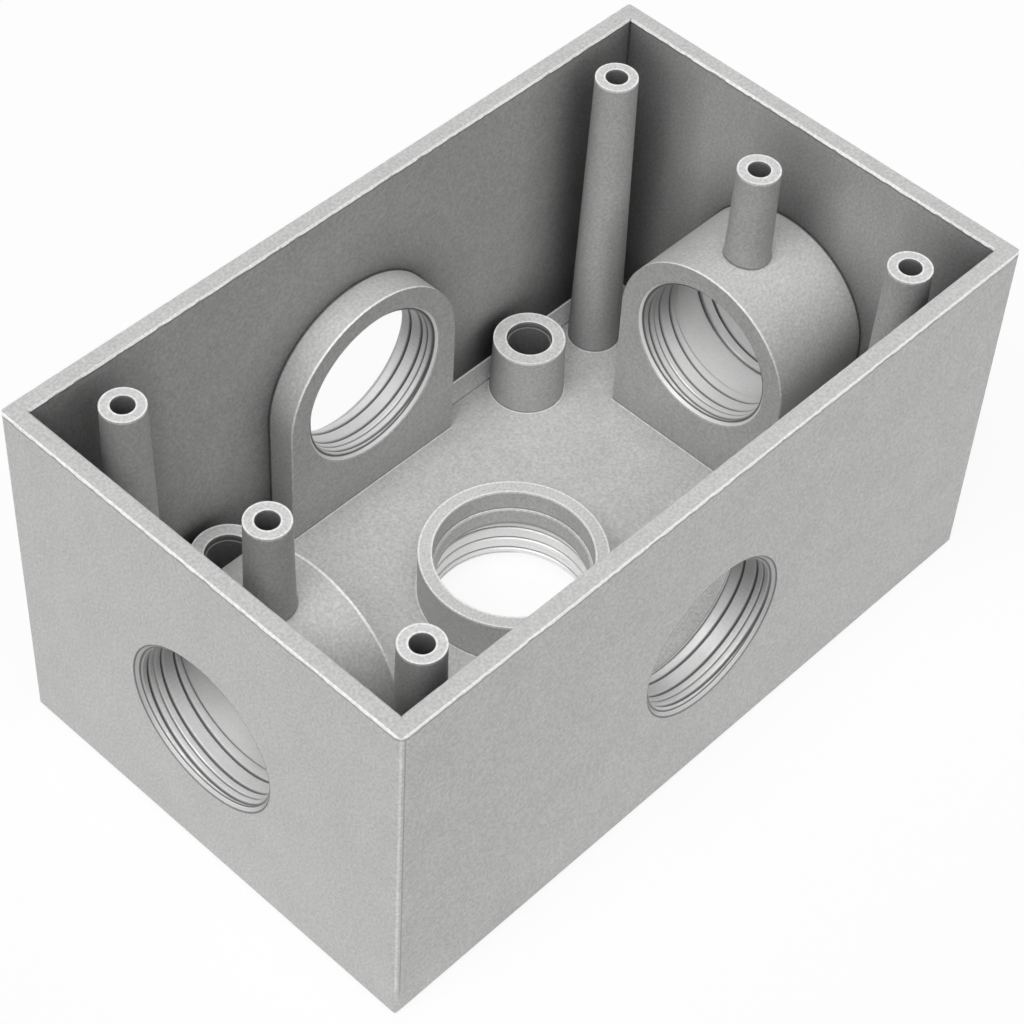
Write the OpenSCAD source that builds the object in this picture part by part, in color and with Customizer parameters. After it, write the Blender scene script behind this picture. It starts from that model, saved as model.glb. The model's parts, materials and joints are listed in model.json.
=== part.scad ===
// Surface conduit box with five threaded outlets, cast in one piece and open at the top.
// Millimetres. The origin is the middle of the back face, which the box stands on here.
// +X runs along the length and +Z points out of the open side.

/* [Body] */
// Length over the end walls
body_l = 114.3; // [106:0.1:140]
// Width over the side walls
body_w = 69.85; // [66:0.05:90]
// Height from the back face to the rim
body_h = 58.5; // [54:0.5:80]
// Thickness of the four walls
wall_t = 2.7; // [2:0.1:3.5]
// Thickness of the floor
floor_t = 7; // [5:0.5:9]
// Radius of the vertical edges and of the edges round the back face
edge_r = 1.2; // [0.5:0.1:2]
// Radius of the outer edge of the rim
rim_r = 0.4; // [0.2:0.1:0.8]
// Chamfer on the inner edge of the rim
rim_break = 0.3; // [0.1:0.1:0.6]
// Chamfer along the foot of the walls, inside
foot_fillet = 2; // [1:0.25:3]

/* [Outlets] */
// Height of the side and end outlets above the back face
outlet_z = 27.2; // [25:0.1:30]
// Radius of the tapped bores, at the root of the thread
bore_r = 12.1; // [10:0.1:13]
// Chamfer at both mouths of a bore
bore_chamfer = 0.5; // [0.3:0.1:0.8]
// Depth of the thread, cut outward from the drilled bore
thread_depth = 0.8; // [0.4:0.1:1.2]
// Tapped length of the bores in the hubs, from the outer mouth
tapped_l = 12; // [8:0.5:12]

/* [Hubs and pads] */
// How far the hubs reach in from the end walls
hub_l = 17.5; // [10:0.5:22]
// Metal round the bore in a hub
hub_wall = 2.7; // [2:0.1:4]
// How far the pads reach in from the side walls
pad_l = 4.8; // [3:0.1:8]
// Metal round the bore in a pad
pad_wall = 3.6; // [2:0.1:5]
// Height of the collar round the outlet in the floor
collar_h = 7.4; // [4:0.1:10]
// Metal between the tapped bore and the outside of the collar
collar_wall = 1.2; // [1:0.1:3]
// Radius of the smooth mouth of the floor outlet
mouth_r = 11.3; // [9:0.1:11.5]
// Depth of the smooth mouth
mouth_l = 3.5; // [2:0.1:4]
// Radius of the stop below the smooth mouth
stop_r = 10.8; // [8.5:0.1:11]
// Depth from the top of the collar to the underside of the stop
stop_l = 6.2; // [5:0.1:8]

/* [Screw posts] */
// Distance from the end faces to the middle of the posts
post_inset_l = 12.2; // [10:0.1:14]
// Distance from the side faces to the middle of the corner posts
post_inset_w = 8.9; // [8:0.1:12]
// How far the posts end below the rim
post_drop = 1.2; // [0:0.1:4]
// Radius of a post at its top
post_r = 3.05; // [2.6:0.05:3.5]
// Taper of a post's side, in degrees
post_draft = 1; // [0.5:0.1:1.5]
// Radius of the screw holes in the posts
screw_r = 1.6; // [1:0.05:2]
// Depth of the screw holes in the corner posts
corner_hole_l = 20; // [10:1:30]
// Depth of the screw holes in the two posts on the hubs
hub_hole_l = 12; // [8:0.5:13]

/* [Mounting bosses] */
// Distance from the end faces to the middle of the bosses
boss_inset_l = 27.5; // [26.5:0.1:30]
// Distance from the side faces to the middle of the bosses
boss_inset_w = 9.4; // [9:0.1:12]
// Height of the bosses above the floor
boss_h = 10; // [5:0.5:14]
// Radius of a boss at its top
boss_r = 5.3; // [4.5:0.1:5.6]
// Taper of a boss's side, in degrees
boss_draft = 1.5; // [0.5:0.1:2]
// Radius of the mounting hole through a boss
mount_r = 3.1; // [2.5:0.1:3.5]
// Radius of the shallow seat at the top of the hole
seat_r = 3.35; // [3.2:0.05:4]
// Depth of the seat
seat_l = 1; // [0.5:0.1:2]

/* [Hidden] */
// Cuts run past the faces they open by this much
past = 1;
// Added forms reach this far into the metal that carries them
root = 1;
inner_l = body_l - 2 * wall_t;
inner_w = body_w - 2 * wall_t;
throat_r = bore_r - thread_depth;
hub_r = bore_r + hub_wall;
pad_r = bore_r + pad_wall;
collar_r = bore_r + collar_wall;
collar_top = floor_t + collar_h;
post_x = body_l / 2 - post_inset_l;
post_y = body_w / 2 - post_inset_w;
post_top = body_h - post_drop;
hub_post_foot = outlet_z + hub_r - root;
boss_x = body_l / 2 - boss_inset_l;
boss_y = body_w / 2 - boss_inset_w;
boss_top = floor_t + boss_h;
$fn = 96;

// Copies the children to both ends along X
module at_both_ends() {
    for (turn = [0, 180]) rotate([0, 0, turn]) children();
}

// Copies the children to the four corners of a rectangle with these half sides
module at_corners(half_l, half_w) {
    for (x = [-half_l, half_l], y = [-half_w, half_w]) translate([x, y, 0]) children();
}

// Rectangle with rounded corners
module rounded_rectangle(l, w, r) {
    square([l - 2 * r, w], center = true);
    square([l, w - 2 * r], center = true);
    at_corners(l / 2 - r, w / 2 - r) circle(r);
}

// Side view of the outside: large rounding at the back face, small rounding at the rim
module outer_view(span) {
    translate([-span / 2, edge_r]) square([span, body_h - edge_r - rim_r]);
    translate([-span / 2 + edge_r, 0]) square([span - 2 * edge_r, body_h / 2]);
    translate([-span / 2 + rim_r, body_h / 2]) square([span - 2 * rim_r, body_h / 2]);
    for (side = [-1, 1]) translate([side * (span / 2 - edge_r), edge_r]) circle(edge_r);
    for (side = [-1, 1]) translate([side * (span / 2 - rim_r), body_h - rim_r]) circle(rim_r);
}

// Side view of the cavity: chamfered foot, straight walls and a broken edge at the rim
module cavity_view(span) {
    half = span / 2;
    flare = rim_break + past;
    polygon([
        [-half + foot_fillet, floor_t],
        [half - foot_fillet, floor_t],
        [half, floor_t + foot_fillet],
        [half, body_h - rim_break],
        [half + flare, body_h + past],
        [-half - flare, body_h + past],
        [-half, body_h - rim_break],
        [-half, floor_t + foot_fillet]
    ]);
}

// Stands a side view up and extrudes it across the given width
module across(width) {
    rotate([90, 0, 0]) linear_extrude(width, center = true) children();
}

module shell() {
    difference() {
        intersection() {
            linear_extrude(body_h) rounded_rectangle(body_l, body_w, edge_r);
            across(body_w + 2 * past) outer_view(body_l);
            rotate([0, 0, 90]) across(body_l + 2 * past) outer_view(body_w);
        }
        intersection() {
            across(body_w + 2 * past) cavity_view(inner_l);
            rotate([0, 0, 90]) across(body_l + 2 * past) cavity_view(inner_w);
        }
    }
}

// Arch that stands on the floor round an outlet, seen along the outlet's axis
module arch(r) {
    translate([0, outlet_z]) circle(r);
    translate([-r, floor_t - root]) square([2 * r, outlet_z - floor_t + root]);
}

// Arch from x = 0 towards +X
module arch_block(r, l) {
    rotate([90, 0, 90]) linear_extrude(l) arch(r);
}

module hubs() {
    at_both_ends() translate([inner_l / 2 - hub_l, 0, 0]) arch_block(hub_r, hub_l + root);
}

module pads() {
    rotate([0, 0, 90]) at_both_ends()
        translate([inner_w / 2 - pad_l, 0, 0]) arch_block(pad_r, pad_l + root);
}

module collar() {
    translate([0, 0, floor_t - root]) cylinder(h = collar_h + root, r = collar_r);
}

// Round post that widens towards its foot
module tapered_post(foot, top, top_r, draft) {
    foot_r = top_r + (top - foot) * tan(draft);
    translate([0, 0, foot]) cylinder(h = top - foot, r1 = foot_r, r2 = top_r);
}

module corner_posts() {
    at_corners(post_x, post_y) tapered_post(floor_t - root, post_top, post_r, post_draft);
}

module hub_posts() {
    at_both_ends() translate([post_x, 0, 0])
        tapered_post(hub_post_foot, post_top, post_r, post_draft);
}

module mounting_bosses() {
    at_corners(boss_x, boss_y) tapered_post(floor_t - root, boss_top, boss_r, boss_draft);
}

// Blind hole down from z = 0
module screw_hole(l) {
    translate([0, 0, -l]) cylinder(h = l + past, r = screw_r);
}

module screw_holes() {
    at_corners(post_x, post_y) translate([0, 0, post_top]) screw_hole(corner_hole_l);
    at_both_ends() translate([post_x, 0, post_top]) screw_hole(hub_hole_l);
}

module mounting_holes() {
    at_corners(boss_x, boss_y) {
        translate([0, 0, -past]) cylinder(h = boss_top + 2 * past, r = mount_r);
        translate([0, 0, boss_top - seat_l]) cylinder(h = seat_l + past, r = seat_r);
    }
}

// Chamfer at the mouth of a bore at z = 0, opening downward
module mouth_chamfer(r) {
    translate([0, 0, -past])
        cylinder(h = bore_chamfer + past, r1 = r + bore_chamfer + past, r2 = r);
}

// Bore of a pad upward from z = 0, tapped all through
module pad_bore(l) {
    translate([0, 0, -past]) cylinder(h = l + 2 * past, r = bore_r);
    mouth_chamfer(bore_r);
    translate([0, 0, l]) mirror([0, 0, 1]) mouth_chamfer(bore_r);
}

// Bore of a hub upward from its inner mouth at z = 0, tapped from the outer mouth
module hub_bore(l) {
    translate([0, 0, -past]) cylinder(h = l + past, r = throat_r);
    translate([0, 0, l - tapped_l]) cylinder(h = tapped_l + past, r = bore_r);
    mouth_chamfer(throat_r);
    translate([0, 0, l]) mirror([0, 0, 1]) mouth_chamfer(bore_r);
}

// Lays a bore along +X, with its inner mouth at this x and the height of the outlets
module laid_at(x) {
    translate([x, 0, outlet_z]) rotate([0, 90, 0]) children();
}

module outlets() {
    at_both_ends() laid_at(inner_l / 2 - hub_l) hub_bore(hub_l + wall_t);
    rotate([0, 0, 90]) at_both_ends() laid_at(inner_w / 2 - pad_l) pad_bore(pad_l + wall_t);
}

// The floor outlet is tapped from the back face up to a smooth stop in the collar
module floor_outlet() {
    translate([0, 0, -past]) cylinder(h = collar_top - stop_l + past, r = bore_r);
    mouth_chamfer(bore_r);
    translate([0, 0, -past]) cylinder(h = collar_top + 2 * past, r = stop_r);
    translate([0, 0, collar_top - mouth_l]) cylinder(h = mouth_l + past, r = mouth_r);
}

module box_casting() {
    color([0.74, 0.74, 0.73]) difference() {
        union() {
            shell();
            hubs();
            pads();
            collar();
            corner_posts();
            hub_posts();
            mounting_bosses();
        }
        outlets();
        floor_outlet();
        screw_holes();
        mounting_holes();
    }
}

box_casting();
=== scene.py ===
import json
import math

import bpy
from mathutils import Matrix, Vector


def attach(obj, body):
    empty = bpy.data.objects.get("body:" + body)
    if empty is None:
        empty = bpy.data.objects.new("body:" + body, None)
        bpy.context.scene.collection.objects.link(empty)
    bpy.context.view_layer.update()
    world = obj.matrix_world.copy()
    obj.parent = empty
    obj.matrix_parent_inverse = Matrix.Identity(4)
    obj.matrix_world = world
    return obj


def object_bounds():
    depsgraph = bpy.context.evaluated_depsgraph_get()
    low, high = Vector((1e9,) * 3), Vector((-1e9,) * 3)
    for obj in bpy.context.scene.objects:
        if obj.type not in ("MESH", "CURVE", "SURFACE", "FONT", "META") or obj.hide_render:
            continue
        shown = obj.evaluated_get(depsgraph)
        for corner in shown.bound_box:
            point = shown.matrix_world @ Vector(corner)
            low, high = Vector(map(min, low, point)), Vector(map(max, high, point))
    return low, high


MM = 0.001

# Camera, fitted to the photograph
CAMERA_AZIMUTH = -48.894
CAMERA_ELEVATION = 48.80
CAMERA_ROLL = 3.72
CAMERA_DISTANCE = 382.85 * MM
CAMERA_TARGET_HEIGHT = 28 * MM
CAMERA_RIGHT = -0.85 * MM
CAMERA_UP = -3.27 * MM
SENSOR_WIDTH = 36.0
LENS = 100.22
NEAREST_SEEN = 0.01
FARTHEST_SEEN = 20

# Forms of the casting; a reach is just past the form, measured from the box's middle
WALL = 2.7 * MM
FLOOR_TOP = 7 * MM
STRIP_TOP = 9 * MM
COLLAR_TOP = 14.4 * MM
BOSS_TOP = 17 * MM
POST_TOP = 57.3 * MM
COLLAR_RADIUS = 13.3 * MM
COLLAR_REACH = 14 * MM
MOUTH_RADIUS = 11.3 * MM
BOSS_MIDDLE = (29.65 * MM, 25.525 * MM)
BOSS_RADIUS = 5.3 * MM
BOSS_HALF_WIDTH = 5.65 * MM
SEAT_RADIUS = 3.35 * MM
POST_MIDDLE = (44.95 * MM, 26.025 * MM)
HUB_POST_MIDDLE = (44.95 * MM, 0)
POST_RADIUS = 3.05 * MM
SCREW_RADIUS = 1.6 * MM
HUB_FACE = 36.95 * MM
HUB_REACH = 14.9 * MM
PAD_FACE = 27.425 * MM
PAD_REACH = 15.8 * MM
BORE_CHAMFER = 0.5 * MM
HUB_THROAT = 8.2 * MM
THROAT_STEP = 0.8 * MM

# Thread of the outlets
THREAD_PITCH = 2.2 * MM
THREAD_LEAD = 0.8 * MM
THREAD_HEIGHT = 0.42 * MM
THREAD_ZONE = 7.2 * MM
THREAD_SEAT = 0.02 * MM
START_GROOVE = 0.2 * MM
GROOVE_SHARE = 0.26
FINE_GROOVE_START = 0.53
FINE_GROOVE_SHARE = 0.15
FINE_GROOVE_DEPTH = 0.3 * MM
FINE_GROOVE_END = 3 * MM
FINE_GROOVE_FADE = 0.5 * MM
EXTRA_ROUNDS = 2
STEPS_ROUND = 96
STEPS_PER_PITCH = 24
NARROWEST_FACE = 0.03 * MM
SHARP_ANGLE = 25
GROOVE_LAYER = "groove"

# Metal
CAST_GREY = (0.55, 0.55, 0.545, 1)
CUT_GREY = (0.63, 0.63, 0.625, 1)
MACHINED_GREY = (0.95, 0.95, 0.945, 1)
# The grey of the painted highlights on edges
EDGE_HIGHLIGHT_GREY = (0.92, 0.92, 0.915, 1)
METALLIC = 0.2
CAST_ROUGHNESS = 0.6
MACHINED_ROUGHNESS = 0.4
MOTTLE_SIZE = 6 * MM
MOTTLE_SPREAD = 0.06
GRAIN_SIZE = 0.4 * MM
GRAIN_SPREAD = 0.3
GRAIN_HEIGHT = 0.06 * MM
GRAIN_STRENGTH = 0.25
MACHINED_CALM = 0.75
NOISE_DETAIL = 1.0

# Painted highlights on edges: how wide they are, and how much of the highlight's grey they take
EDGE_WIDTH = 0.35 * MM
EDGE_HIGHLIGHT_SHARE = 0.85
RING_WIDTH = 0.25 * MM
RING_HIGHLIGHT_SHARE = 0.7
OUTER_ROUNDING = 1.3 * MM
UPRIGHT_HIGHLIGHT_SHARE = 0.35
RIM_LIGHT = 0.3 * MM
RIM_HIGHLIGHT_SHARE = 0.75
RIM_WOBBLE = 0.5 * MM
RIM_WOBBLE_SIZE = 1.6 * MM

# Dark lines and shade: their sizes and samples, and how much light they take away
RIM_DARK = 0.6 * MM
STRIP_LINE = 0.18 * MM
MOUTH_LINE = 0.15 * MM
THIN_LINE_DEPTH = 0.3
LINE_WIDTH = 0.35 * MM
LINE_DEPTH = 0.7
LINE_SAMPLES = 2
SHADE_REACH = 10 * MM
SHADE_SAMPLES = 3
WALL_SHADE = 0.93
SIDE_SHADE = 0.25
DEEP_SHADE = 0.78
HOLE_SHADE = 0.4
CHAMFER_DEPTH = 0.28
CHAMFER_SHADE = 0.35
BORE_SHADE = 0.62
GROOVE_SHADE = 0.75

# Margins round the forms' faces, and heights at which the painted highlight on upright edges and
# the painted shade in holes start
CUT_MARGIN = 0.1 * MM
WALL_MARGIN = 0.3 * MM
UPRIGHT_EDGE_FOOT = 3 * MM
HOLE_FOOT = 3 * MM
POST_HOLE_FOOT = 44 * MM

# Limits on the normal along an axis, from -1 to 1; a pair gives the ends of a band or a fade
CUT_FACING = 0.98
RIM_FACING = 0.95
TURNED_AWAY = 0.5
UPRIGHT = 0.3
STRIP_FACING = (0.6, 0.8)
FLOOR_FACING = (0.3, 0.7)
SIDE_FACING = (0.6, 0.1)
CHAMFER_FACING = (0.65, 0.2)
BORE_FACING = (-0.1, 0.8)
UPRIGHT_EDGE_FACING = (0.61, 0.79)
UPRIGHT_LINE_FACING = (0.90, 0.96)

# Fades by how open a place is, from 0 to 1, and by how deep it is in a thread's groove
CORNER_OPENNESS = (0.9, 0.55)
WALL_OPENNESS = (0.86, 0.46)
SIDE_OPENNESS = (0.9, 0.5)
DEEP_OPENNESS = (0.3, 0.08)
GROOVE_FADE = (0.1, 0.7)

# Lamps: strength, angle across, and tilt about X and then about Y, in degrees
LEFT_LAMP = (1.15, 30, (0, -30))
FRONT_LAMP = (0.32, 30, (30, 0))
VIEW_LAMP = (0.7, 30, (25, -28))
TOP_LAMP = (0.55, 15, (0, 0))

# World and floor
WORLD_STRENGTH = 0.18
WHITE = (1, 1, 1, 1)
FLOOR_GREY = (0.9, 0.9, 0.9, 1)
FLOOR_SIZE = 6.0
FLOOR_SHADOW_SHARE = 0.12

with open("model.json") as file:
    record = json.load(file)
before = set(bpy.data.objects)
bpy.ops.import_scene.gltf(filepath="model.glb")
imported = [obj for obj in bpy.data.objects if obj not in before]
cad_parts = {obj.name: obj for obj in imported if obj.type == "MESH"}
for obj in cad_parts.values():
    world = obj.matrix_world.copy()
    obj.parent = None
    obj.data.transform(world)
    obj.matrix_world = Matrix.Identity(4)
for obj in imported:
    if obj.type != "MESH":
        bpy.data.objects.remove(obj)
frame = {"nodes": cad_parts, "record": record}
cad_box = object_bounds()
outlets = [m for m in frame["record"]["mounts"] if m["kind"] == "threaded_hole"]


def add_camera():
    """Puts the camera where the photograph was taken from."""
    azimuth = math.radians(CAMERA_AZIMUTH)
    elevation = math.radians(CAMERA_ELEVATION)
    roll = math.radians(CAMERA_ROLL)
    level = math.cos(elevation)
    back = Vector((math.sin(azimuth) * level, -math.cos(azimuth) * level, math.sin(elevation)))
    level_right = Vector((math.cos(azimuth), math.sin(azimuth), 0))
    level_up = back.cross(level_right)
    right = math.cos(roll) * level_right + math.sin(roll) * level_up
    up = back.cross(right)
    data = bpy.data.cameras.new("camera")
    data.sensor_width = SENSOR_WIDTH
    data.lens = LENS
    data.clip_start = NEAREST_SEEN
    data.clip_end = FARTHEST_SEEN
    camera = bpy.data.objects.new("camera", data)
    bpy.context.scene.collection.objects.link(camera)
    target = Vector((0, 0, CAMERA_TARGET_HEIGHT))
    camera.matrix_world = Matrix((right, up, back)).transposed().to_4x4()
    camera.location = target + back * CAMERA_DISTANCE + right * CAMERA_RIGHT + up * CAMERA_UP
    bpy.context.scene.camera = camera


class Tree:
    """A node tree that is filled one node at a time."""

    def __init__(self, tree):
        self.tree = tree
        tree.nodes.clear()

    def add(self, kind, inputs=None, **settings):
        """Adds a node, sets its settings, and sets or links its inputs."""
        node = self.tree.nodes.new("ShaderNode" + kind)
        for name, value in settings.items():
            setattr(node, name, value)
        for name, value in (inputs or {}).items():
            if isinstance(value, bpy.types.NodeSocket):
                self.tree.links.new(value, node.inputs[name])
            else:
                node.inputs[name].default_value = value
        return node

    def math(self, operation, first, second=0.0, third=0.0, clamp=False):
        """The result of one sum."""
        inputs = {0: first, 1: second, 2: third}
        return self.add("Math", inputs, operation=operation, use_clamp=clamp).outputs[0]

    def mix(self, share, first, second, blend="MIX"):
        """Two colours mixed by a share."""
        inputs = {0: share, 6: first, 7: second}
        return self.add("Mix", inputs, data_type="RGBA", blend_type=blend).outputs[2]

    def noise(self, place, size):
        """Clouds of a size, round a half."""
        inputs = {"Vector": place, "Scale": 1 / size, "Detail": NOISE_DETAIL}
        return self.add("TexNoise", inputs).outputs[0]

    def length(self, first, second):
        """The length of two offsets at right angles."""
        squares = [self.math("POWER", offset, 2.0) for offset in (first, second)]
        return self.math("SQRT", self.math("ADD", *squares))

    def step(self, value, low, high):
        """0 at low and 1 at high, with a smooth way between."""
        inputs = {"Value": value, "From Min": low, "From Max": high}
        node = self.add("MapRange", inputs, interpolation_type="SMOOTHSTEP")
        return node.outputs["Result"]

    def band(self, value, low, high):
        """1 where a value lies between two others, and 0 elsewhere."""
        return self.math("COMPARE", value, (low + high) / 2, (high - low) / 2)

    def above(self, value, limit):
        """1 where a value is above a limit, and 0 elsewhere."""
        return self.math("GREATER_THAN", value, limit)

    def below(self, value, limit):
        """1 where a value is below a limit, and 0 elsewhere."""
        return self.math("LESS_THAN", value, limit)

    def every(self, *masks):
        """The product of several masks: 1 where all of them are 1."""
        result = masks[0]
        for mask in masks[1:]:
            result = self.math("MULTIPLY", result, mask)
        return result

    def any_of(self, *masks):
        """The highest of several masks."""
        result = masks[0]
        for mask in masks[1:]:
            result = self.math("MAXIMUM", result, mask)
        return result

    def without(self, mask, *others):
        """A mask lowered by others, and never below 0."""
        for other in others:
            mask = self.math("SUBTRACT", mask, other, clamp=True)
        return mask

    def darken(self, level, mask, depth):
        """A level lowered by a depth where the mask is 1."""
        return self.math("MULTIPLY", level, self.math("MULTIPLY_ADD", mask, -depth, 1.0))


def new_material(name):
    """An empty material and its tree."""
    material = bpy.data.materials.new(name)
    material.use_nodes = True
    return material, Tree(material.node_tree)


def place_and_axes(tree):
    """The place on the object, and its three coordinates."""
    place = tree.add("TexCoord").outputs["Object"]
    return place, tree.add("SeparateXYZ", {0: place}).outputs


def normal_axes(tree, kind):
    """The three coordinates of a normal of this kind."""
    return tree.add("SeparateXYZ", {0: tree.add("NewGeometry").outputs[kind]}).outputs


class Skin:
    """Where the casting's surface lies and faces, and the masks that its looks share.

    Spans are the distances from the middle along X and Y, and the height.
    """

    def __init__(self, tree):
        self.tree = tree
        self.place, axes = place_and_axes(tree)
        self.spans = [tree.math("ABSOLUTE", axes[0]), tree.math("ABSOLUTE", axes[1]), axes[2]]
        self.turn = normal_axes(tree, "Normal")
        self.bores, self.mouths, self.chamfers = bore_masks(tree, self.spans)
        self.inside, self.near_wall = inner_masks(tree, self.spans)
        self.off_walls = tree.math("SUBTRACT", self.inside, self.near_wall)
        self.above_floor = tree.above(self.spans[2], COLLAR_TOP)
        self.cut = cut_mask(tree, self.spans[2], self.turn[2])


def bore_stretches():
    """The round stretches of half the outlets: middle, outward axis, half length and radius."""
    stretches = []
    for outlet in outlets:
        if outlet["name"].endswith("near"):
            continue
        axis = Vector(outlet["axis"])
        place = Vector(outlet["pos_m"])
        half = outlet["dims"]["length_mm"] / 2 * MM
        radius = outlet["dims"]["r_mm"] * MM
        stretches.append((place, axis, half, radius))
        if outlet["name"].startswith("outlet_end"):
            throat = (HUB_THROAT - BORE_CHAMFER) / 2
            stretches.append((place - axis * (half + throat), axis, throat, radius - THROAT_STEP))
    return stretches


def bore_masks(tree, spans):
    """Three masks: the outlets' bores and chamfers, those with a thin ring, and the chamfers."""
    bores = 0.0
    mouths = 0.0
    chamfers = 0.0
    for place, axis, half, radius in bore_stretches():
        along = max(range(3), key=lambda i: abs(axis[i]))
        offsets = [tree.math("SUBTRACT", spans[i], place[i]) for i in range(3)]
        depth = tree.math("ABSOLUTE", offsets.pop(along))
        spoke = tree.length(*offsets)
        reach = radius + BORE_CHAMFER
        near = tree.below(spoke, reach - MOUTH_LINE)
        within = tree.below(depth, half + BORE_CHAMFER - THREAD_SEAT)
        bores = tree.any_of(bores, tree.every(near, within))
        near = tree.below(spoke, reach + MOUTH_LINE / 2)
        within = tree.below(depth, half + BORE_CHAMFER + THREAD_SEAT)
        mouths = tree.any_of(mouths, tree.every(near, within))
        beyond = tree.above(spoke, radius + 2 * THREAD_SEAT)
        chamfers = tree.any_of(chamfers, tree.every(near, within, beyond))
    return bores, mouths, chamfers


def inner_masks(tree, spans):
    """Two masks: 1 within the walls and above the back face, and 1 only at their inner faces."""
    beyond = 0.0
    within = 1.0
    for i in (0, 1):
        start = cad_box[1][i] - WALL - WALL_MARGIN
        end = cad_box[1][i] - WALL / 2
        beyond = tree.any_of(beyond, tree.above(spans[i], start))
        within = tree.every(within, tree.below(spans[i], end))
    within = tree.every(within, tree.above(spans[2], BORE_CHAMFER))
    return within, tree.every(beyond, within)


def cut_mask(tree, height, upward):
    """1 on the tops of the posts, bosses and collar, which are cut flat, and 0 elsewhere."""
    found = 0.0
    for level in (COLLAR_TOP, BOSS_TOP, POST_TOP):
        found = tree.any_of(found, tree.math("COMPARE", height, level, CUT_MARGIN))
    return tree.every(found, tree.above(upward, CUT_FACING))


def occlusion(tree, reach, samples):
    """How open the surface is within a reach, from 0 to 1."""
    return tree.add("AmbientOcclusion", {"Distance": reach}, samples=samples).outputs["AO"]


def top_masks(skin, middle, outer, inner, foot):
    """Two masks for a round top with a hole: its two edges, and the hole down to its foot."""
    tree = skin.tree
    offsets = [tree.math("SUBTRACT", skin.spans[i], middle[i]) for i in (0, 1)]
    spoke = tree.length(*offsets)
    outer_edge = tree.band(spoke, outer - RING_WIDTH, outer + RING_WIDTH)
    inner_edge = tree.band(spoke, inner - RING_WIDTH, inner + RING_WIDTH)
    within = tree.below(spoke, inner + THREAD_SEAT)
    hole = tree.every(within, tree.above(skin.spans[2], foot))
    return tree.any_of(outer_edge, inner_edge), hole


def ring_and_hole_masks(skin):
    """Two masks: the edges of all flat tops, for a painted highlight, and the sides of the holes
    in posts and bosses, for painted shade.
    """
    tree = skin.tree
    collar, _ = top_masks(skin, (0, 0), COLLAR_RADIUS, MOUTH_RADIUS, HOLE_FOOT)
    boss, boss_hole = top_masks(skin, BOSS_MIDDLE, BOSS_RADIUS, SEAT_RADIUS, HOLE_FOOT)
    posts = [
        top_masks(skin, middle, POST_RADIUS, SCREW_RADIUS, POST_HOLE_FOOT)
        for middle in (POST_MIDDLE, HUB_POST_MIDDLE)
    ]
    rings = tree.any_of(collar, boss, *[edges for edges, _ in posts])
    holes = tree.any_of(boss_hole, *[hole for _, hole in posts])
    return tree.every(rings, skin.cut), tree.without(holes, skin.cut)


def form_edge_mask(skin):
    """1 along the edges of the collar, bosses, posts, hubs and pads, which get a painted
    highlight.
    """
    tree = skin.tree
    along, across, height = skin.spans
    collar = tree.every(
        tree.band(height, COLLAR_TOP - EDGE_WIDTH, COLLAR_TOP),
        tree.below(along, COLLAR_REACH),
        tree.below(across, COLLAR_REACH),
    )
    boss = tree.every(
        tree.band(height, BOSS_TOP - EDGE_WIDTH, BOSS_TOP),
        tree.math("COMPARE", along, BOSS_MIDDLE[0], BOSS_HALF_WIDTH),
        tree.math("COMPARE", across, BOSS_MIDDLE[1], BOSS_HALF_WIDTH),
    )
    post = tree.above(height, POST_TOP - EDGE_WIDTH)
    tops = tree.every(tree.any_of(collar, boss, post), tree.below(skin.turn[2], TURNED_AWAY))
    hub = tree.every(
        tree.band(along, HUB_FACE, HUB_FACE + EDGE_WIDTH),
        tree.below(across, HUB_REACH),
        tree.below(tree.math("ABSOLUTE", skin.turn[0]), TURNED_AWAY),
    )
    pad = tree.every(
        tree.band(across, PAD_FACE, PAD_FACE + EDGE_WIDTH),
        tree.below(along, PAD_REACH),
        tree.below(tree.math("ABSOLUTE", skin.turn[1]), TURNED_AWAY),
    )
    edges = tree.every(tree.any_of(tops, hub, pad), skin.off_walls)
    return tree.without(edges, skin.mouths)


def form_side_mask(skin):
    """1 on the upright sides of the hubs, pads, posts and bosses."""
    tree = skin.tree
    beyond = [tree.above(skin.spans[i], COLLAR_REACH) for i in (0, 1)]
    upright = tree.step(skin.turn[2], *SIDE_FACING)
    return tree.every(skin.off_walls, upright, tree.any_of(*beyond))


def upright_edge_lines(skin):
    """Two masks: a painted highlight on the outside's upright edges, and a painted shade line
    beside it.
    """
    tree = skin.tree
    outside = tree.step(skin.spans[2], UPRIGHT_EDGE_FOOT, 2 * UPRIGHT_EDGE_FOOT)
    for i in (0, 1):
        beyond = tree.above(skin.spans[i], cad_box[1][i] - OUTER_ROUNDING)
        outside = tree.every(outside, beyond)
    across = tree.math("ABSOLUTE", skin.turn[1])
    painted_highlight = tree.band(across, *UPRIGHT_EDGE_FACING)
    line = tree.band(across, *UPRIGHT_LINE_FACING)
    return tree.every(painted_highlight, outside), tree.every(line, outside)


def rim_lines(skin):
    """Two masks: a painted highlight on the edges of the rim, and a painted shade line below it.
    """
    tree = skin.tree
    wobble = tree.noise(skin.place, RIM_WOBBLE_SIZE)
    shift = tree.math("MULTIPLY_ADD", wobble, RIM_WOBBLE, -RIM_WOBBLE / 2)
    below = tree.math("SUBTRACT", tree.math("ADD", cad_box[1].z, shift), skin.spans[2])
    painted_highlight = tree.below(below, RIM_LIGHT)
    line = tree.math("SUBTRACT", tree.below(below, RIM_DARK), painted_highlight)
    return tree.every(painted_highlight, tree.below(skin.turn[2], RIM_FACING)), line


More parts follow.
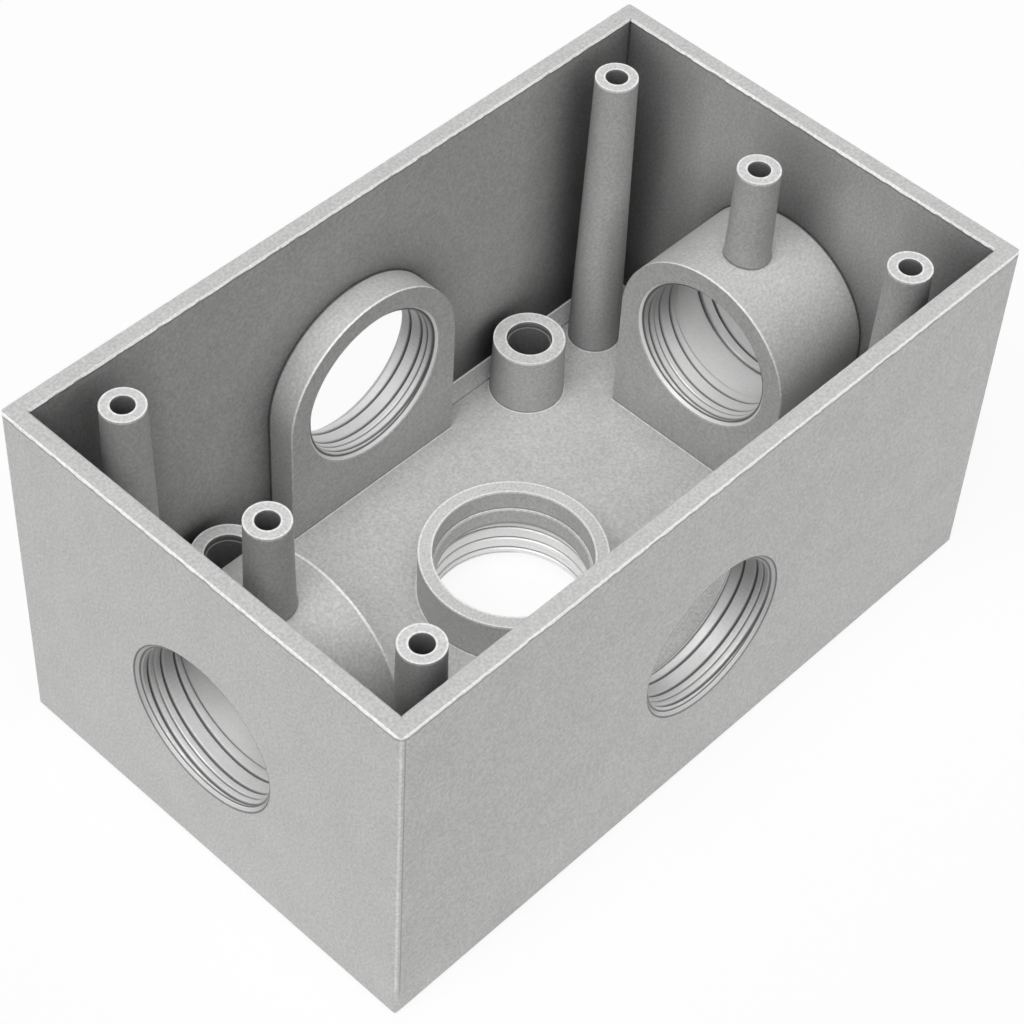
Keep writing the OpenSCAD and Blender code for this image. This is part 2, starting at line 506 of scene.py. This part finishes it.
def foot_strip_lines(skin):
    """Two masks on the chamfer at the foot of the walls: a painted highlight on its top edge, and
    a painted shade line at its foot.
    """
    tree = skin.tree
    chamfer = tree.band(skin.turn[2], *STRIP_FACING)
    painted_highlight = tree.band(skin.spans[2], STRIP_TOP - STRIP_LINE, STRIP_TOP)
    line = tree.band(skin.spans[2], FLOOR_TOP, FLOOR_TOP + STRIP_LINE)
    return tree.every(painted_highlight, chamfer), tree.every(line, chamfer)


def corner_masks(skin, strip_edge, strip_line):
    """Two masks: all inner corners, for a painted shade line, and those at the foot of the forms
    and walls, which get a painted highlight instead.
    """
    tree = skin.tree
    corner = tree.step(occlusion(tree, LINE_WIDTH, LINE_SAMPLES), *CORNER_OPENNESS)
    corner = tree.every(corner, skin.inside)
    bright = tree.every(corner, tree.step(skin.turn[2], *FLOOR_FACING))
    bright = tree.without(bright, skin.near_wall, skin.above_floor, strip_line)
    return corner, tree.any_of(bright, strip_edge)


def shade_hollows(skin, level):
    """A level lowered on the walls behind the forms, on the forms' sides and deep in holes."""
    tree = skin.tree
    openness = occlusion(tree, SHADE_REACH, SHADE_SAMPLES)
    upright = tree.any_of(tree.below(skin.turn[2], UPRIGHT), skin.above_floor)
    on_walls = tree.every(tree.step(openness, *WALL_OPENNESS), skin.near_wall, upright)
    on_sides = tree.every(tree.step(openness, *SIDE_OPENNESS), form_side_mask(skin))
    deep = tree.every(tree.step(openness, *DEEP_OPENNESS), skin.inside)
    level = tree.darken(level, on_walls, WALL_SHADE)
    level = tree.darken(level, tree.without(on_sides, skin.bores), SIDE_SHADE)
    return tree.darken(level, tree.without(deep, skin.bores), DEEP_SHADE)


def bore_shade(tree, upward):
    """1 where a bore's side faces up, and lower where it faces sideways or down."""
    return tree.math("MULTIPLY_ADD", tree.step(upward, *BORE_FACING), BORE_SHADE, 1 - BORE_SHADE)


def shade_bores(skin, level):
    """A level lowered round the outer mouths, on their chamfers and on the bores' sides."""
    tree = skin.tree
    mouth_line = tree.without(skin.mouths, tree.any_of(skin.bores, skin.inside))
    chamfers = tree.without(skin.chamfers, skin.inside)
    turned = tree.every(chamfers, tree.step(skin.turn[2], *CHAMFER_FACING))
    sides = tree.without(skin.bores, skin.chamfers)
    dark = tree.math("SUBTRACT", 1.0, bore_shade(tree, skin.turn[2]))
    level = tree.darken(level, mouth_line, THIN_LINE_DEPTH)
    level = tree.darken(level, chamfers, CHAMFER_DEPTH)
    level = tree.darken(level, turned, CHAMFER_SHADE)
    return tree.darken(level, tree.every(sides, dark), 1.0)


def grain_and_level(tree, place, calm):
    """The skin's relief, and how much lighter or darker its specks and clouds are."""
    mottle = tree.noise(place, MOTTLE_SIZE)
    grain = tree.noise(place, GRAIN_SIZE)
    cloud = tree.math("MULTIPLY_ADD", mottle, 2 * MOTTLE_SPREAD, 1 - MOTTLE_SPREAD)
    spread = tree.math("MULTIPLY_ADD", calm, -2 * GRAIN_SPREAD, 2 * GRAIN_SPREAD)
    speck = tree.math("MULTIPLY_ADD", tree.math("SUBTRACT", grain, 0.5), spread, 1.0)
    return grain, tree.math("MULTIPLY", cloud, speck)


def finish_metal(tree, colour, level, grain, roughness):
    """The shader of the metal, with its grain as relief."""
    tint = tree.add("CombineColor", {0: level, 1: level, 2: level}).outputs[0]
    relief = {"Height": grain, "Strength": GRAIN_STRENGTH, "Distance": GRAIN_HEIGHT}
    look = {
        "Base Color": tree.mix(1.0, colour, tint, "MULTIPLY"),
        "Roughness": roughness,
        "Metallic": METALLIC,
        "Normal": tree.add("Bump", relief).outputs[0],
    }
    shader = tree.add("BsdfPrincipled", look)
    tree.add("OutputMaterial", {"Surface": shader.outputs[0]})


def paint_casting():
    """Cast aluminium: sandy skin, cut bright in the bores and paler on the post tops, with painted
    highlights on edges and painted shade in corners, hollows, holes and bores.
    """
    material, tree = new_material("cast_aluminium")
    skin = Skin(tree)
    rings, holes = ring_and_hole_masks(skin)
    upright_edge, upright_line = upright_edge_lines(skin)
    rim_edge, rim_line = rim_lines(skin)
    strip_edge, strip_line = foot_strip_lines(skin)
    corner, bright_corner = corner_masks(skin, strip_edge, strip_line)

    # Painted highlights: lines along edges, rings round tops, the rim, the outside's upright edges
    # and the foot of forms
    painted_highlight = tree.any_of(
        bright_corner,
        tree.math("MULTIPLY", rings, RING_HIGHLIGHT_SHARE),
        tree.math("MULTIPLY", form_edge_mask(skin), EDGE_HIGHLIGHT_SHARE),
        tree.math("MULTIPLY", upright_edge, UPRIGHT_HIGHLIGHT_SHARE),
        tree.math("MULTIPLY", rim_edge, RIM_HIGHLIGHT_SHARE),
    )
    colour = tree.mix(skin.cut, CAST_GREY, CUT_GREY)
    colour = tree.mix(skin.bores, colour, MACHINED_GREY)
    colour = tree.mix(painted_highlight, colour, EDGE_HIGHLIGHT_GREY)

    calm = tree.math("MULTIPLY", skin.bores, MACHINED_CALM)
    grain, level = grain_and_level(tree, skin.place, calm)
    level = shade_hollows(skin, level)
    level = shade_bores(skin, level)
    # Painted shade in the holes of the posts and bosses
    level = tree.darken(level, holes, HOLE_SHADE)
    # Painted shade: dark lines in the inner corners
    level = tree.darken(level, tree.without(corner, bright_corner), LINE_DEPTH)
    # Painted shade: thin dark lines below the rim's highlight, beside the upright edges' highlight
    # and at the foot of the wall chamfer
    thin_lines = tree.any_of(rim_line, upright_line, strip_line)
    level = tree.darken(level, thin_lines, THIN_LINE_DEPTH)

    fall = MACHINED_ROUGHNESS - CAST_ROUGHNESS
    roughness = tree.math("MULTIPLY_ADD", skin.bores, fall, CAST_ROUGHNESS)
    finish_metal(tree, colour, level, grain, roughness)
    return material


def paint_thread():
    """Cut aluminium, bright on the thread's crests, with painted shade deep in its grooves and on
    the bores' sides that face sideways or down.
    """
    material, tree = new_material("machined_aluminium")
    place, axes = place_and_axes(tree)
    grain, level = grain_and_level(tree, place, MACHINED_CALM)
    # Painted shade on the bores' sides that face sideways or down, except in the floor outlet
    upward = normal_axes(tree, "True Normal")[2]
    in_floor = tree.below(axes[2], COLLAR_TOP)
    level = tree.math("MULTIPLY", level, tree.any_of(bore_shade(tree, upward), in_floor))
    # Painted shade deep in the thread's grooves
    groove = tree.add("Attribute", attribute_name=GROOVE_LAYER).outputs["Fac"]
    level = tree.darken(level, tree.step(groove, *GROOVE_FADE), GROOVE_SHADE)
    finish_metal(tree, MACHINED_GREY, level, grain, MACHINED_ROUGHNESS)
    return material


def thread_radius(bore, depth, phase, end):
    """Radius of the thread's surface at a depth from the mouth and a phase of the pitch."""
    root = bore - THREAD_SEAT
    crest = bore - THREAD_HEIGHT
    radius = crest
    if phase < GROOVE_SHARE:
        radius += (root - crest) * (1 - abs(2 * phase / GROOVE_SHARE - 1))
    share = (phase - FINE_GROOVE_START) / FINE_GROOVE_SHARE
    if 0 < share < 1:
        fade = min(1, max(0, (FINE_GROOVE_END - depth) / FINE_GROOVE_FADE))
        radius += FINE_GROOVE_DEPTH * fade * (1 - abs(2 * share - 1))
    rise = (depth - BORE_CHAMFER) / START_GROOVE
    if rise < 1:
        radius = max(radius, root - (root - crest) * rise)
    return max(radius, bore - (end - depth))


def thread_points(bore, mouth, inward, rounds, end):
    """Rows of points round the bore, one row for each step, and how deep in a groove each is."""
    side = Vector((0, 0, -1)) if inward.z == 0 else Vector((0, -1, 0))
    other = inward.cross(side)
    points = []
    grooves = []
    for i in range(rounds * STEPS_ROUND + 1):
        turn = i / STEPS_ROUND
        spoke = side * math.cos(turn * math.tau) + other * math.sin(turn * math.tau)
        for j in range(STEPS_PER_PITCH + 1):
            phase = j / STEPS_PER_PITCH
            depth = THREAD_LEAD + THREAD_PITCH * (turn - EXTRA_ROUNDS + phase)
            depth = min(end, max(BORE_CHAMFER, depth))
            radius = thread_radius(bore, depth, phase, end)
            points.append(mouth + inward * depth + spoke * radius)
            grooves.append(1 - (bore - THREAD_SEAT - radius) / (THREAD_HEIGHT - THREAD_SEAT))
    return points, grooves


def thread_faces(points, rounds):
    """The faces between the rows, without those that are pressed flat at the thread's ends."""
    row = STEPS_PER_PITCH + 1
    faces = []
    for i in range(rounds * STEPS_ROUND):
        for j in range(STEPS_PER_PITCH):
            corner = i * row + j
            corners = (corner, corner + 1, corner + row + 1, corner + row)
            spans = [(points[corners[k]] - points[corners[k - 2]]).length for k in (0, 1)]
            if min(spans) > NARROWEST_FACE:
                faces.append(corners)
    return faces


def add_thread(name, bore, mouth, inward, length, both_ends=False):
    """Helical thread in a bore, from a mouth inward, as one strip that winds round the bore."""
    rounds = math.ceil(length / THREAD_PITCH) + EXTRA_ROUNDS
    end = length - (BORE_CHAMFER if both_ends else 0)
    points, grooves = thread_points(bore, mouth, inward, rounds, end)
    mesh = bpy.data.meshes.new(name)
    mesh.from_pydata(points, [], thread_faces(points, rounds))
    mesh.shade_smooth()
    mesh.set_sharp_from_angle(angle=math.radians(SHARP_ANGLE))
    layer = mesh.attributes.new(GROOVE_LAYER, "FLOAT", "POINT")
    layer.data.foreach_set("value", grooves)
    thread = bpy.data.objects.new(name, mesh)
    bpy.context.scene.collection.objects.link(thread)
    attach(thread, "root")
    return thread


def add_outlet_threads(outlet):
    """A thread at both ends of a hub's bore, and one right through a pad or the floor."""
    name = outlet["name"].replace("outlet", "thread")
    outward = Vector(outlet["axis"])
    centre = Vector(outlet["pos_m"])
    bore = outlet["dims"]["r_mm"] * MM
    half = outlet["dims"]["length_mm"] / 2 * MM
    mouth = centre + outward * (half + BORE_CHAMFER)
    if outlet["name"].startswith("outlet_end"):
        inner_mouth = centre - outward * (half + HUB_THROAT)
        return [
            add_thread(name + "_outer", bore, mouth, -outward, THREAD_ZONE),
            add_thread(name + "_inner", bore - THROAT_STEP, inner_mouth, outward, THREAD_ZONE),
        ]
    if outlet["name"] == "outlet_back":
        return [add_thread(name, bore, mouth, -outward, 2 * half + BORE_CHAMFER)]
    if outlet["name"].endswith("far"):
        mouth = centre - outward * (half + BORE_CHAMFER)
        outward = -outward
    return [add_thread(name, bore, mouth, -outward, 2 * (half + BORE_CHAMFER), both_ends=True)]


def add_threads(material):
    """The threads of all outlets."""
    for outlet in outlets:
        for thread in add_outlet_threads(outlet):
            thread.data.materials.append(material)


def add_sun(name, strength, angle, tilt):
    """A soft sun that shines down, tilted about X and then about Y."""
    data = bpy.data.lights.new(name, "SUN")
    data.energy = strength
    data.angle = math.radians(angle)
    lamp = bpy.data.objects.new(name, data)
    lamp.rotation_euler = (math.radians(tilt[0]), math.radians(tilt[1]), 0)
    bpy.context.scene.collection.objects.link(lamp)


def seen_share(tree):
    """1 for rays that show the floor or the world, straight or in gloss, and 0 for light."""
    path = tree.add("LightPath")
    straight = tree.math("ADD", path.outputs["Is Camera Ray"], path.outputs["Is Glossy Ray"])
    return tree.math("ADD", straight, path.outputs["Is Transmission Ray"], clamp=True)


def add_floor():
    """A plain white floor that keeps a faint shadow of the box."""
    half = FLOOR_SIZE / 2
    corners = [(-half, -half, 0), (half, -half, 0), (half, half, 0), (-half, half, 0)]
    mesh = bpy.data.meshes.new("floor")
    mesh.from_pydata(corners, [], [(0, 1, 2, 3)])
    floor = bpy.data.objects.new("floor", mesh)
    bpy.context.scene.collection.objects.link(floor)
    material, tree = new_material("floor_white")
    lit = tree.add("BsdfDiffuse", {"Color": FLOOR_GREY})
    white = tree.add("Emission", {"Color": WHITE, "Strength": 1.0})
    share = tree.math("MULTIPLY", seen_share(tree), 1 - FLOOR_SHADOW_SHARE)
    shader = tree.add("MixShader", {0: share, 1: lit.outputs[0], 2: white.outputs[0]})
    tree.add("OutputMaterial", {"Surface": shader.outputs[0]})
    mesh.materials.append(material)


def add_world():
    """Even white light from all round, and white where the camera sees past the floor."""
    world = bpy.data.worlds.new("world")
    world.use_nodes = True
    tree = Tree(world.node_tree)
    light = tree.add("Background", {"Color": WHITE, "Strength": WORLD_STRENGTH})
    white = tree.add("Background", {"Color": WHITE, "Strength": 1.0})
    shader = tree.add("MixShader", {0: seen_share(tree), 1: light.outputs[0], 2: white.outputs[0]})
    tree.add("OutputWorld", {"Surface": shader.outputs[0]})
    bpy.context.scene.world = world


casting = frame["nodes"]["box_casting"]
casting.data.materials.clear()
casting.data.materials.append(paint_casting())
add_threads(paint_thread())
add_camera()
add_floor()
add_world()
add_sun("left_lamp", *LEFT_LAMP)
add_sun("front_lamp", *FRONT_LAMP)
add_sun("view_lamp", *VIEW_LAMP)
add_sun("top_lamp", *TOP_LAMP)
bpy.context.scene.view_settings.view_transform = "Standard"
